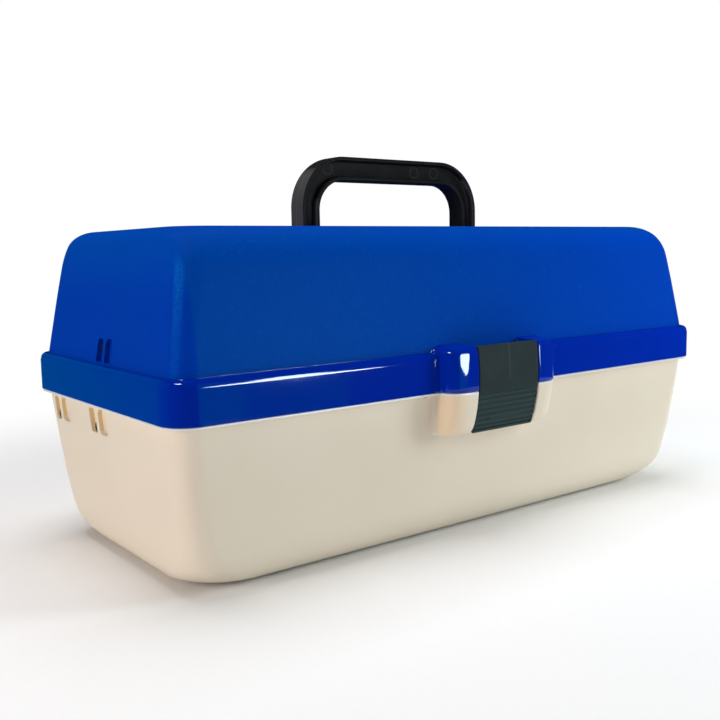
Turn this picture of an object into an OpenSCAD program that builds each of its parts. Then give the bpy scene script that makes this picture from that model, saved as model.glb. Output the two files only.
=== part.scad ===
// Two-tray cantilever tackle box, drawn shut, with the carry handle up.
// Millimetres. +Z is up, X runs along the box and the latch faces -Y.
// The origin is the middle of the tub's underside.

/* [Overall] */
// Length outside the lid's skirt
body_l = 360; // [330:5:420]
// Depth outside the lid's skirt, front to back
body_d = 168; // [164:2:190]
// Wall of the tub and the lid
wall = 2.2; // [1.8:0.1:2.8]

/* [Tub] */
// Height of the tub's rim above the floor
tub_h = 79.1; // [76:0.5:90]
// How far the tub's wall lies inside the lid's skirt
tub_inset = 3.8; // [3.4:0.1:5]
// Slope of the tub's ends
tub_end_draft = 5.5; // [3:0.5:6]
// Slope of the tub's front and back
tub_side_draft = 5.8; // [3:0.2:6]
// Rounding where the ends meet the floor
tub_end_round = 17; // [10:1:24]
// Rounding where the front and back meet the floor
tub_side_round = 21; // [10:1:24]
// Upright corner radius at the rim
tub_corner_top = 12; // [8:1:16]
// Upright corner radius at the floor
tub_corner_floor = 32; // [20:1:36]
// Thickness of the rim flange that the lid shuts on
flange_t = 1.2; // [0.8:0.1:1.6]
// How far the flange's edge lies inside the skirt
flange_inset = 0.4; // [0.2:0.1:1]
// Height of the dust lip above the flange
lip_h = 4; // [2:0.5:6]

/* [Lid] */
// Height of the skirt
skirt_h = 19; // [16:0.5:24]
// Upright corner radius of the skirt
skirt_corner = 13.8; // [10:0.2:18]
// Rounding along the skirt's top edge
skirt_round = 3; // [1.5:0.5:4]
// Height of the dome above the skirt
dome_h = 62.2; // [58:0.5:76]
// How far the dome's foot lies inside the skirt
dome_inset = 4.4; // [3.6:0.2:6]
// Slope of the dome's ends
dome_end_draft = 9.2; // [6:0.2:10]
// Slope of the dome's front and back
dome_side_draft = 7; // [4:0.5:8]
// Rounding where the dome's ends meet the top
dome_end_round = 8.4; // [6:0.2:16]
// Rounding where the dome's front and back meet the top
dome_side_round = 20; // [12:1:22]
// Upright corner radius at the dome's foot
dome_corner_foot = 9.6; // [8:0.2:14]
// Upright corner radius at the dome's top
dome_corner_top = 15; // [12:1:20]
// Gap between the skirt and the tub's flange
lid_gap = 0.2; // [0.1:0.1:0.4]

/* [Latch] */
// Width of the latch plate
latch_w = 42.4; // [36:0.2:48]
// Thickness of the latch plate
latch_t = 2.4; // [2:0.2:3]
// How far the latch housing stands proud of the skirt
housing_proud = 11; // [10:0.5:13]
// Half width of the housing across its front corners
housing_half_w = 39.5; // [38:0.5:46]
// Radius of the housing's front corners
housing_round = 11; // [8:0.5:11]
// Height of the housing's top above the rim
housing_top = 22; // [20:0.5:23]
// Depth of the housing's lower half below the rim
housing_drop = 22.5; // [20:0.5:26]
// Height of the latch's pin above the rim
latch_pin_up = 17.5; // [16:0.1:17.6]
// Radius of the latch's pin
latch_pin_r = 1.5; // [1.2:0.1:1.8]
// Side gap between the latch and its housing
latch_side_gap = 0.4; // [0.3:0.1:0.8]
// Width of the snap hook and its catch
hook_w = 24; // [14:1:32]

/* [Handle] */
// Width outside the handle's legs
handle_w = 127; // [110:1:140]
// Height of the handle's grip above the lid
handle_rise = 39; // [34:0.5:40]
// Thickness of the handle, front to back
handle_t = 12; // [10:0.5:13]
// Width of a leg
leg_w = 11.3; // [9:0.1:12]
// Height of the grip bar
grip_h = 13; // [11:0.5:15]
// Radius of the handle's outer corners
handle_corner = 28; // [20:1:32]
// Width of the rims round the handle's web
handle_rim = 2.2; // [1.6:0.2:3]
// Thickness of the handle's web
handle_web = 4; // [3:0.5:6]
// Radius of the handle's pivot pins
handle_pin_r = 2.5; // [2:0.1:3]

/* [Trays and linkage] */
// Opening angle of the lid
lid_open = 100; // [90:1:100]
// Y of the front arms' pivots on the tub
front_pivot_y = 11; // [9:0.5:13]
// Distance between the front and rear pivots
pivot_pitch = 50; // [49:0.5:51]
// How far the tub's pivots lie below the rim
pivot_drop = 12.5; // [12.1:0.1:13.1]
// Length of an arm between its outer pivots
arm_l = 72; // [71:0.5:72.5]
// Distance along an arm to the lower tray's pivot
arm_mid = 24; // [23:0.5:24]
// Angle of the arms above level when shut
arm_angle = 20; // [19:0.5:21]
// Width of an arm or link
arm_w = 10; // [8.4:0.2:10.4]
// Thickness of an arm or link
arm_t = 3; // [2.4:0.2:3.2]
// Radius of the arms' pegs
peg_r = 2.6; // [2.2:0.1:2.8]
// Y of the lid clip's pivot
lid_clip_y = -0.3; // [-2:0.1:1]
// Height of the lid clip's pivot above the skirt
lid_clip_up = 7.2; // [5.8:0.2:7.6]
// Height of the lower tray's underside
lower_tray_z = 50; // [46:1:51]
// Height of the lower tray's rim above the tub's rim
lower_tray_up = 2.9; // [1.9:0.5:3.4]
// Height of the upper tray
upper_tray_h = 35.5; // [30:0.5:36]
// Gap between the stacked trays
tray_stack_gap = 2; // [1.5:0.1:2.2]
// Wall and floor of the trays
tray_wall = 1.8; // [1.4:0.1:2.2]
// Thickness of a divider
divider_t = 1.5; // [1.2:0.1:2]
// Distance from a divider's top to the tray's rim
divider_drop = 4; // [2:0.5:8]

/* [Hinge] */
// Distance of each hinge from the middle of the box
hinge_x = 110; // [80:5:130]
// Radius of the knuckles
knuckle_r = 4.5; // [4:0.1:5]
// Length of the lid's knuckle
lid_knuckle_l = 16; // [12:1:24]
// Length of each of the tub's knuckles
tub_knuckle_l = 12; // [8:1:16]
// Radius of the hinge pins
hinge_pin_r = 1.75; // [1.4:0.05:2]

/* [Hidden] */
blue = "#0a3aa0";
beige = "#dfceb8";
black = "#26272a";
latch_grey = "#333e40";
steel = "#a9adb2";
white = "#e9e6dc";

$fn = 48;
skin = 0.01;        // thickness of one slice of a rounded form
run = 0.08;         // radial running clearance of a pin
press = 0.02;       // radial clearance of a pin that stays put
end_gap = 0.4;      // side gap between pieces that turn
fillet_steps = 7;   // slices round a form's bottom or top edge

half_l = body_l / 2;
half_d = body_d / 2;

// Half size of a drafted wall at height z over a rounded floor: the wall is at top_half when z = h.
function at_height(z, top_half, h, draft, r) =
  let (foot = top_half - h * tan(draft))
  z >= r * (1 - sin(draft)) ? foot + z * tan(draft)
  : foot + r * tan(draft) - r / cos(draft) + sqrt(r * r - (r - z) * (r - z));

// Corner radius that swells towards the floor.
function corner_at(z, h, top_r, floor_r) = top_r + (floor_r - top_r) * pow(1 - min(z, h) / h, 5);

// Heights of the slices: close together round the edge, then the rim.
function slice_heights(r, h) =
  concat([for (i = [0 : fillet_steps]) r * (1 - cos(90 * i / fillet_steps))], [h]);

// A rounded form through slices of [z, half length, half depth, corner radius].
module form(slices) {
  hull()
    for (s = slices, sx = [-1, 1], sy = [-1, 1])
      translate([sx * (s[1] - s[3]), sy * (s[2] - s[3]), s[0] - (s[0] > slices[0][0] ? skin : 0)])
        cylinder(r = s[3], h = skin);
}

// A flat rounded rectangle.
module rounded_rect(hx, hy, r) {
  square([2 * (hx - r), 2 * hy], center = true);
  square([2 * hx, 2 * (hy - r)], center = true);
  for (sx = [-1, 1], sy = [-1, 1])
    translate([sx * (hx - r), sy * (hy - r)])
      circle(r = r);
}

// Turns a drawing in Y and Z into a plate from x0 to x0 + t.
module side_plate(x0, t) {
  translate([x0, 0, 0])
    rotate([90, 0, 90])
      linear_extrude(t)
        children();
}

// A pin, bore or boss along X.
module rod(x0, len, y, z, r) {
  translate([x0, y, z])
    rotate([0, 90, 0])
      cylinder(r = r, h = len);
}

// Both ends of the box.
module both_ends() {
  for (side = [0, 1])
    mirror([side, 0, 0])
      children();
}

// ---- tub ----
tub_half_l = half_l - tub_inset;
tub_half_d = half_d - tub_inset;
function tub_x(z) = at_height(z, tub_half_l, tub_h, tub_end_draft, tub_end_round);
function tub_y(z) = at_height(z, tub_half_d, tub_h, tub_side_draft, tub_side_round);
function tub_slice(z) = [z, tub_x(z), tub_y(z), corner_at(z, tub_h, tub_corner_top, tub_corner_floor)];
function tub_hollow_slice(z) = [
  z,
  at_height(z - wall, tub_half_l - wall, tub_h - wall, tub_end_draft, tub_end_round - wall),
  at_height(z - wall, tub_half_d - wall, tub_h - wall, tub_side_draft, tub_side_round - wall),
  corner_at(z, tub_h, tub_corner_top, tub_corner_floor) - wall
];
lip_z = tub_h + lip_h;
pivot_z = tub_h - pivot_drop;

// ---- lid ----
skirt_z = tub_h + lid_gap;
crease_z = skirt_z + skirt_h;
lid_top = crease_z + dome_h;
dome_half_l = half_l - dome_inset;
dome_half_d = half_d - dome_inset;
function dome_slice(drop, inset) = [
  lid_top - inset - drop,
  at_height(drop, dome_half_l - inset, dome_h - inset, dome_end_draft, dome_end_round - inset),
  at_height(drop, dome_half_d - inset, dome_h - inset, dome_side_draft, dome_side_round - inset),
  dome_corner_foot - inset + (dome_corner_top - dome_corner_foot) * pow(1 - drop / dome_h, 4)
];
function dome_x(z) = dome_half_l - (z - crease_z) * tan(dome_end_draft);
function lid_wall_x(z) = dome_x(z) - wall;

// ---- linkage, in Y and Z ----
hinge_y = half_d + 3;
hinge_z = tub_h - 0.6;
rear_pivot_y = front_pivot_y + pivot_pitch;
function arm_end(pivot_y, reach, angle) =
  [pivot_y - reach * cos(angle), pivot_z + reach * sin(angle)];
lower_front = arm_end(front_pivot_y, arm_mid, arm_angle);
lower_rear = arm_end(rear_pivot_y, arm_mid, arm_angle);
upper_front = arm_end(front_pivot_y, arm_l, arm_angle);
upper_rear = arm_end(rear_pivot_y, arm_l, arm_angle);
// The link's tray pivot turns round the lid's hinge as the arms do round theirs, less this trim.
link_trim = [0.16, -0.63];
link_low = [hinge_y - arm_l * cos(arm_angle), hinge_z + arm_l * sin(arm_angle)] + link_trim;
lid_clip_z = crease_z + lid_clip_up;
link_high = [lid_clip_y, lid_clip_z];

// ---- pieces side by side at the ends, in X ----
seat_room = 4.4;    // from the tub's wall to the arm, where the pivot seat stands
arm_x = tub_x(pivot_z) - wall - seat_room - arm_t;
seat_x = arm_x + arm_t + 0.6;
tray_half_l = arm_x - end_gap;
peg_depth = 0.5;    // the peg's end lies this far inside the wall's face
eye_lip = 0.5;      // how far an eye stands out past its bar
rivet_head_t = 1.2;
rivet_head_r = 4;
rivet_r = 2.5;
link_play = 0.25;   // radial clearance of a link's peg in the lid

// ---- trays, front to back ----
tray_front_gap = 3.2;
tray_front_y = -(tub_y(lower_tray_z) - wall - tray_front_gap);
tray_rear_y = lower_rear[0] + rivet_r + tray_wall + 0.4;
tray_mid_y = (tray_front_y + tray_rear_y) / 2;
tray_half_d = (tray_rear_y - tray_front_y) / 2;
lower_tray_top = tub_h + lower_tray_up;
upper_tray_z = lower_tray_top + tray_stack_gap;
upper_tray_top = upper_tray_z + upper_tray_h;
tray_corner = 5;
rib = 1.2;          // size of the ribs that hold a divider
rib_play = 0.2;     // gap between a rib and a divider
lower_rows = 3;
upper_rows = 2;
slot_pitch = tray_half_l / 3;
// Each divider stands in a row of its tray, at a slot counted from the middle.
lower_dividers = [[0, 0], [1, -1], [1, 1], [2, -2], [2, 1]];
upper_dividers = [[0, -1], [0, 1], [1, -2], [1, 1]];
function row_depth(rows) = (2 * tray_half_d - tray_wall * (rows + 1)) / rows;
function row_y(row, rows) =
  tray_mid_y - tray_half_d + tray_wall + row_depth(rows) / 2 + row * (row_depth(rows) + tray_wall);

// ---- pivot seats ----
window_z0 = pivot_z - 2.7;
window_z1 = pivot_z + 9.6;
window_round = 1;
tongue_front = 4;   // from the pivot to the tongue's front face
tongue_rear = 0.8;  // from the pivot to the tongue's rear face
window_front = 14.1;
window_rear = 6.2;
seat_rim = 1.6;
pocket_x = tub_x(pivot_z) - 2.8;
lid_window_z0 = crease_z + 0.3;
lid_window_z1 = lid_clip_z + 4.7;
lid_window_front = 12;
lid_window_rear = 6.1;
lid_pocket_x = dome_x(lid_clip_z) - 2.8;

// Two windows either side of a tongue, cut in from outside to pocket_x.
module windows(y, z0, z1, front, rear, depth_x) {
  for (span = [[y - front, y - tongue_front], [y - tongue_rear, y + rear]])
    side_plate(depth_x, wall + 12)
      translate([(span[0] + span[1]) / 2, (z0 + z1) / 2])
        rounded_rect((span[1] - span[0]) / 2, (z1 - z0) / 2, window_round);
}

// ---- latch housing, shared by the lid and the tub ----
housing_front = half_d + housing_proud;
housing_root = half_d - dome_inset / 2;
recess_half = latch_w / 2 + latch_side_gap;
recess_floor = half_d + 0.2;
latch_pin_z = tub_h + latch_pin_up;
latch_proud = 10.2;  // how far the latch's face stands proud of the skirt
latch_face = half_d + latch_proud;
latch_barrel_r = 3.6;
latch_pin_y = latch_face - 1.6 - latch_barrel_r;
ear_l = 3.6;

// One slice of the housing: round front corners, and a root inside the wall behind.
module housing_slice(z, front, half_w, r, root, root_half) {
  for (sx = [-1, 1]) {
    translate([sx * (half_w - r), -(front - r), z]) cylinder(r = r, h = skin);
    translate([sx * (root_half - 1), -root, z]) cylinder(r = 1, h = skin);
  }
}

module lid_housing(inset, z0) {
  r = housing_round - inset;
  w = housing_half_w - inset;
  hull() {
    housing_slice(z0, housing_front - inset, w, r, housing_root, w + 1);
    housing_slice(crease_z - inset, housing_front - inset - 0.6, w, r, housing_root, w + 0.6);
    housing_slice(
      tub_h + housing_top - inset, housing_front - inset - 5, w - 3, r - 3, housing_root - 2, w - 2
    );
  }
}

module tub_housing(inset, z1) {
  r = housing_round - inset;
  w = housing_half_w - inset;
  low_z = tub_h - housing_drop + inset;
  hull() {
    housing_slice(z1 - skin, housing_front - inset, w, r, housing_root - 2.8, w + 1);
    housing_slice(low_z + 4, housing_front - inset - 2.4, w, r, tub_y(low_z) - 1.2, w);
    housing_slice(low_z, housing_front - inset - 6, w - 3, r - 3, tub_y(low_z) - 1.2, w - 3);
  }
}

// The slot that the latch lies in, and the block of wall round it.
module latch_recess(z0, z1, grow) {
  translate([-recess_half - grow, -housing_front - 5, z0])
    cube([2 * (recess_half + grow), housing_front + 5 - recess_floor + grow, z1 - z0]);
}

// ---- sub-parts ----

module knuckles(spans, r) {
  for (s = spans)
    rod(s[0], s[1] - s[0], hinge_y, hinge_z, r);
}
lid_knuckle = [[hinge_x - lid_knuckle_l / 2, hinge_x + lid_knuckle_l / 2]];
tub_knuckle = [
  [lid_knuckle[0][0] - end_gap - tub_knuckle_l, lid_knuckle[0][0] - end_gap],
  [lid_knuckle[0][1] + end_gap, lid_knuckle[0][1] + end_gap + tub_knuckle_l]
];
function grown(spans) = [for (s = spans) [s[0] - end_gap, s[1] + end_gap]];

module tub() {
  color(beige)
    difference() {
      union() {
        difference() {
          union() {
            form([for (z = slice_heights(tub_side_round, lip_z)) tub_slice(z)]);
            translate([0, 0, tub_h - flange_t])
              linear_extrude(flange_t)
                rounded_rect(half_l - flange_inset, half_d - flange_inset, skirt_corner - flange_inset);
            tub_housing(0, tub_h);
          }
          tub_housing(wall, tub_h + lip_h + 1);
        }
        intersection() {
          latch_recess(tub_h - housing_drop, tub_h, wall);
          tub_housing(0, tub_h);
        }
        lip_bridge();
        both_ends() {
          for (y = [front_pivot_y, rear_pivot_y])
            tub_seat(y);
          hinge_brackets();
        }
      }
      tub_hollow();
      both_ends() {
        for (y = [front_pivot_y, rear_pivot_y]) {
          windows(y, window_z0, window_z1, window_front, window_rear, pocket_x);
          rod(seat_x - 1, tub_x(pivot_z) - peg_depth - seat_x + 1, y, pivot_z, peg_r + run);
        }
        knuckles(grown(lid_knuckle), knuckle_r + end_gap);
        knuckles(tub_knuckle, hinge_pin_r + run);
      }
      latch_recess(tub_h - housing_drop - 1, tub_h + lip_h + 1, 0);
    }
  color(beige)
    catch();
}

// The dust lip runs straight past the housing's open back.
module lip_bridge() {
  translate([-housing_half_w, -tub_half_d, tub_h - flange_t])
    cube([2 * housing_half_w, wall, flange_t + lip_h - skin]);
}

// The tub's inside, kept clear of the pivot seats.
module tub_hollow() {
  difference() {
    form([for (z = concat(slice_heights(tub_side_round - wall, lip_z - wall), [lip_z]))
      tub_hollow_slice(z + wall - (z == lip_z ? wall - 1 : 0))]);
    both_ends()
      for (y = [front_pivot_y, rear_pivot_y])
        tub_seat(y);
  }
}

// The block behind a pair of windows, with the socket for an arm's peg.
module tub_seat(y) {
  translate([seat_x, y - window_front - seat_rim, window_z0 - seat_rim])
    cube([tub_x(window_z0) - 0.6 - seat_x, window_front + window_rear + 2 * seat_rim,
      window_z1 - window_z0 + 1.2 * seat_rim]);
}

// The tub's half of a hinge: two knuckles on brackets under the flange.
module hinge_brackets() {
  for (s = tub_knuckle)
    translate([s[0], tub_y(tub_h - 6) - 1, hinge_z - knuckle_r])
      cube([s[1] - s[0], hinge_y - tub_y(tub_h - 6) + 1, knuckle_r]);
  knuckles(tub_knuckle, knuckle_r);
}

// The ledge that the latch snaps under.
catch_y = recess_floor + 3.2;
catch_drop = 10.6;   // from the rim to the underside of the ledge
catch_z = tub_h - catch_drop;
catch_h = 3;
module catch() {
  translate([-hook_w / 2, 0, 0])
    side_plate(0, hook_w)
      polygon([
        [-recess_floor, catch_z], [-catch_y, catch_z],
        [-catch_y, catch_z + 1], [-recess_floor, catch_z + catch_h]
      ]);
}

module skirt_form(inset, z0) {
  h = crease_z - inset;
  form([
    [z0, half_l - inset, half_d - inset, skirt_corner - inset],
    [h - skirt_round, half_l - inset - 0.2, half_d - inset - 0.2, skirt_corner - inset],
    [h - skirt_round * 0.3, half_l - inset - 0.9, half_d - inset - 0.9, skirt_corner - inset - 0.7],
    [h, half_l - inset - skirt_round, half_d - inset - skirt_round, skirt_corner - inset - 2]
  ]);
}

module lid() {
  color(blue)
    difference() {
      union() {
        difference() {
          union() {
            skirt_form(0, skirt_z);
            dome_form(0);
            lid_housing(0, skirt_z);
          }
          skirt_form(wall, skirt_z - 1);
          dome_form(wall);
          dome_mouth();
          lid_housing(wall, skirt_z - 1);
        }
        intersection() {
          latch_recess(skirt_z, tub_h + housing_top, wall);
          union() {
            lid_housing(0, skirt_z);
            translate([-recess_half - wall, -half_d, skirt_z])
              cube([2 * (recess_half + wall), wall, skirt_h]);
          }
        }
        pin_ears();
        handle_pan(wall, 0);
        both_ends() {
          lid_seat();
          lid_hinge_web();
        }
      }
      latch_recess(skirt_z - 1, lid_top, 0);
      rod(-recess_half - ear_l, 2 * (recess_half + ear_l), -latch_pin_y, latch_pin_z, latch_pin_r + press);
      handle_pan(0, 1);
      both_ends() {
        windows(lid_clip_y, lid_window_z0, lid_window_z1, lid_window_front, lid_window_rear, lid_pocket_x);
        rod(seat_x - 1, dome_x(lid_clip_z) - peg_depth - seat_x + 1, lid_clip_y, lid_clip_z, peg_r + link_play);
        knuckles(grown(tub_knuckle), knuckle_r + end_gap);
        knuckles(lid_knuckle, hinge_pin_r + run);
        rod(handle_w / 2 - 1, handle_boss_l + 1, 0, handle_z, handle_pin_r + press);
      }
    }
}

// Bosses inside the housing that hold the latch's pin.
module pin_ears() {
  both_ends()
    rod(recess_half, ear_l + 1.4, -latch_pin_y, latch_pin_z, latch_pin_r + 2);
}

// The dome, or with an inset its hollow.
module dome_form(inset) {
  drops = slice_heights(dome_side_round - inset, dome_h - inset);
  form([for (i = [len(drops) - 1 : -1 : 0]) dome_slice(drops[i], inset)]);
}

// The way from the skirt's hollow up into the dome's, just inside the dome's walls.
module dome_mouth() {
  foot = dome_slice(dome_h - wall, wall);
  translate([0, 0, crease_z - wall - 1])
    linear_extrude(wall + 1.3)
      rounded_rect(foot[1] - 0.1, foot[2] - 0.1, foot[3]);
}

// The block behind the lid's windows, with the socket for a link's peg.
module lid_seat() {
  translate([seat_x, lid_clip_y - lid_window_front - seat_rim, lid_window_z0 - 1])
    cube([dome_x(lid_window_z1) - 1 - seat_x, lid_window_front + lid_window_rear + 2 * seat_rim,
      lid_window_z1 - lid_window_z0 + 1 + seat_rim]);
}

module lid_hinge_web() {
  for (s = lid_knuckle)
    translate([s[0], half_d - wall, skirt_z])
      cube([s[1] - s[0], hinge_y - half_d + wall, hinge_z + knuckle_r - skirt_z]);
  knuckles(lid_knuckle, knuckle_r);
}

// ---- handle ----
handle_top = lid_top + handle_rise;
handle_z = lid_top - handle_t / 2 - 0.5;
handle_fold = handle_top - handle_z;
handle_inner = handle_w / 2 - leg_w;
pan_gap = 1.2;
handle_boss_l = 7.6;
handle_inner_corner = 16;

// The pan in the lid's top that the folded handle lies in, with bosses for its pins.
module handle_pan(grow, lift) {
  y0 = -(handle_t / 2 + pan_gap);
  y1 = handle_fold + pan_gap;
  z0 = handle_z - handle_t / 2 - 0.6;
  translate([0, (y0 + y1) / 2, z0 - grow])
    linear_extrude(lid_top + lift - z0 + grow - (grow > 0 ? 0.5 : 0))
      rounded_rect(handle_w / 2 + pan_gap + grow, (y1 - y0) / 2 + grow, 4 + grow);
  if (grow > 0)
    both_ends()
      rod(handle_w / 2 + pan_gap, handle_boss_l, 0, handle_z, handle_pin_r + 2.2);
}

// Outline of the bail between its pivots, drawn in by e all round.
module bail_outline(e) {
  w = handle_w / 2 - e;
  top = handle_top - e;
  r = handle_corner - e;
  inner_w = handle_inner + e;
  inner_top = handle_top - grip_h + e;
  inner_r = handle_inner_corner + e;
  difference() {
    intersection() {
      translate([-w, handle_z]) square([2 * w, top - handle_z]);
      union() {
        translate([-w, handle_z]) square([2 * w, top - r - handle_z]);
        translate([-w + r, handle_z]) square([2 * (w - r), top - handle_z]);
        for (sx = [-1, 1])
          translate([sx * (w - r), top - r]) circle(r = r);
      }
    }
    translate([-inner_w, handle_z - 1]) square([2 * inner_w, inner_top - inner_r - handle_z + 1]);
    translate([-inner_w + inner_r, handle_z - 1]) square([2 * (inner_w - inner_r), inner_top - handle_z + 1]);
    for (sx = [-1, 1])
      translate([sx * (inner_w - inner_r), inner_top - inner_r]) circle(r = inner_r);
  }
}

module handle() {
  web_in = (handle_t - handle_web) / 2;
  color(black)
    difference() {
      union() {
        rotate([90, 0, 0])
          linear_extrude(handle_t, center = true)
            bail_outline(0);
        both_ends()
          rod(handle_inner, leg_w, 0, handle_z, handle_t / 2);
      }
      for (side = [0, 1])
        mirror([0, side, 0])
          translate([0, -handle_t / 2 + web_in, 0])
            rotate([90, 0, 0])
              linear_extrude(web_in + 1)
                intersection() {
                  bail_outline(handle_rim);
                  translate([-body_l / 2, handle_z + handle_t / 2 + 2]) square([body_l, body_l]);
                }
      both_ends()
        rod(handle_inner - 1, leg_w + 2, 0, handle_z, handle_pin_r + run);
    }
}

// A headed pin through one leg of the handle, held in the pan's boss.
module handle_pin() {
  color(steel) {
    rod(handle_inner - end_gap, leg_w + end_gap + pan_gap + handle_boss_l - 1.6, 0, handle_z, handle_pin_r);
    rod(handle_inner - end_gap - 1.2, 1.2, 0, handle_z, handle_pin_r + 1.2);
  }
}

// ---- latch ----
hook_y = catch_y + 0.4;
hook_z = catch_z - 0.6;
latch_foot = tub_h - housing_drop + 0.5;
module latch() {
  inner = latch_face - latch_t;
  color(latch_grey)
    difference() {
      translate([-latch_w / 2, 0, 0]) {
        side_plate(0, latch_w)
          polygon([
            [-latch_face + 1.6, latch_pin_z + 1], [-latch_face + 0.4, tub_h + 8], [-latch_face, tub_h + 1],
            [-latch_face + 0.8, tub_h - 9], [-latch_face + 3.4, latch_foot],
            [-inner + 3.6, latch_foot], [-inner + 0.9, tub_h - 9], [-inner, tub_h + 1],
            [-inner + 0.4, tub_h + 8], [-latch_pin_y, latch_pin_z - latch_barrel_r + 0.6]
          ]);
        rod(0, latch_w, -latch_pin_y, latch_pin_z, latch_barrel_r);
        translate([(latch_w - hook_w) / 2, 0, 0])
          side_plate(0, hook_w)
            polygon([
              [-inner - 0.4, hook_z], [-hook_y, hook_z], [-hook_y, hook_z - 1],
              [-inner + 0.6, hook_z - 4.4], [-inner - 0.2, hook_z - 4.4]
            ]);
      }
      rod(-latch_w, 2 * latch_w, -latch_pin_y, latch_pin_z, latch_pin_r + run);
    }
}

module latch_pin() {
  color(steel)
    rod(-recess_half - ear_l + 0.3, 2 * (recess_half + ear_l - 0.3), -latch_pin_y, latch_pin_z, latch_pin_r);
}

// ---- hinge pins ----
module hinge_pin() {
  color(steel) {
    rod(tub_knuckle[0][0], tub_knuckle[1][1] - tub_knuckle[0][0] + 0.2, hinge_y, hinge_z, hinge_pin_r);
    rod(tub_knuckle[1][1] + 0.2, 1.2, hinge_y, hinge_z, hinge_pin_r + 1.2);
  }
}

// ---- arms and links ----

// A flat bar with a round eye at each end, between two points in Y and Z.
module bar(from, to) {
  d = to - from;
  w = arm_w - 2 * eye_lip;
  for (p = [from, to])
    translate(p) circle(r = arm_w / 2);
  translate(from)
    rotate(atan2(d[1], d[0]))
      translate([0, -w / 2])
        square([norm(d), w]);
}

// An arm: a peg that snaps into the tub, and eyes for the two trays.
module arm(pivot_y, mid, end) {
  color(black)
    difference() {
      union() {
        side_plate(arm_x, arm_t) bar([pivot_y, pivot_z], end);
        rod(arm_x, tub_x(pivot_z) - peg_depth - run - arm_x, pivot_y, pivot_z, peg_r);
      }
      for (p = [mid, end])
        rod(arm_x - 1, arm_t + 2, p[0], p[1], rivet_r + run);
    }
}

// A link: a peg that snaps into the lid, and an eye for the upper tray.
module lid_link() {
  color(black)
    difference() {
      union() {
        side_plate(arm_x, arm_t) bar(link_high, link_low);
        rod(arm_x, dome_x(lid_clip_z) - peg_depth - run - arm_x, link_high[0], link_high[1], peg_r);
      }
      rod(arm_x - 1, arm_t + 2, link_low[0], link_low[1], rivet_r + run);
    }
}

// A rivet through a tray's end wall: flush inside, with its head outside the arm.
module rivet(p) {
  rod(tray_half_l - tray_wall, tray_wall + arm_t + 2 * end_gap, p[0], p[1], rivet_r);
  rod(arm_x + arm_t + end_gap, rivet_head_t, p[0], p[1], rivet_head_r);
}

module rivets(places) {
  color(steel)
    both_ends()
      for (p = places)
        rivet(p);
}

// ---- trays ----

// A pair of ribs each side of every divider slot along one row.
module slot_ribs(row, rows, z, h) {
  reach = divider_t / 2 + rib_play + rib / 2;
  for (slot = [-2 : 2], side = [-1, 1], wall_side = [-1, 1])
    translate([
      slot * slot_pitch + side * reach, row_y(row, rows) + wall_side * (row_depth(rows) - rib) / 2,
      z + h / 2
    ])
      cube([rib, rib + 0.02, h], center = true);
}

module tray(z, top, rows, rivets) {
  color(white)
    difference() {
      union() {
        difference() {
          translate([0, tray_mid_y, z])
            linear_extrude(top - z)
              rounded_rect(tray_half_l, tray_half_d, tray_corner);
          for (row = [0 : rows - 1])
            translate([0, row_y(row, rows), z + tray_wall])
              linear_extrude(top - z)
                rounded_rect(tray_half_l - tray_wall, row_depth(rows) / 2, tray_corner - tray_wall);
        }
        for (row = [0 : rows - 1])
          slot_ribs(row, rows, z + tray_wall, top - z - tray_wall - divider_drop);
      }
      both_ends()
        for (p = rivets)
          rod(tray_half_l - tray_wall - 1, tray_wall + 2, p[0], p[1], rivet_r + press);
    }
}

module lower_tray() {
  tray(lower_tray_z, lower_tray_top, lower_rows, [lower_front, lower_rear]);
}

module upper_tray() {
  tray(upper_tray_z, upper_tray_top, upper_rows, [upper_front, upper_rear, link_low]);
}

// A removable divider: place gives its row and its slot.
module divider(place, rows, z, top) {
  h = top - divider_drop - z - tray_wall;
  color(white)
    translate([place[1] * slot_pitch, row_y(place[0], rows), z + tray_wall + h / 2])
      cube([divider_t, row_depth(rows) - 2 * rib_play, h], center = true);
}

module lower_divider(index) {
  divider(lower_dividers[index], lower_rows, lower_tray_z, lower_tray_top);
}

module upper_divider(index) {
  divider(upper_dividers[index], upper_rows, upper_tray_z, upper_tray_top);
}

tub();
lid();
mirror([1, 0, 0]) hinge_pin();  // hinge_pin_left
hinge_pin();  // hinge_pin_right
handle();
mirror([1, 0, 0]) handle_pin();  // handle_pin_left
handle_pin();  // handle_pin_right
latch();
latch_pin();
mirror([1, 0, 0]) arm(front_pivot_y, lower_front, upper_front);  // front_arm_left
arm(front_pivot_y, lower_front, upper_front);  // front_arm_right
mirror([1, 0, 0]) arm(rear_pivot_y, lower_rear, upper_rear);  // rear_arm_left
arm(rear_pivot_y, lower_rear, upper_rear);  // rear_arm_right
mirror([1, 0, 0]) lid_link();  // lid_link_left
lid_link();  // lid_link_right
lower_tray();
upper_tray();
rivets([lower_front, lower_rear]);  // lower_tray_rivets
rivets([upper_front, upper_rear]);  // upper_tray_rivets
rivets([link_low]);  // link_rivets
lower_divider(0);  // lower_divider_1
lower_divider(1);  // lower_divider_2
lower_divider(2);  // lower_divider_3
lower_divider(3);  // lower_divider_4
lower_divider(4);  // lower_divider_5
upper_divider(0);  // upper_divider_1
upper_divider(1);  // upper_divider_2
upper_divider(2);  // upper_divider_3
upper_divider(3);  // upper_divider_4
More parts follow.
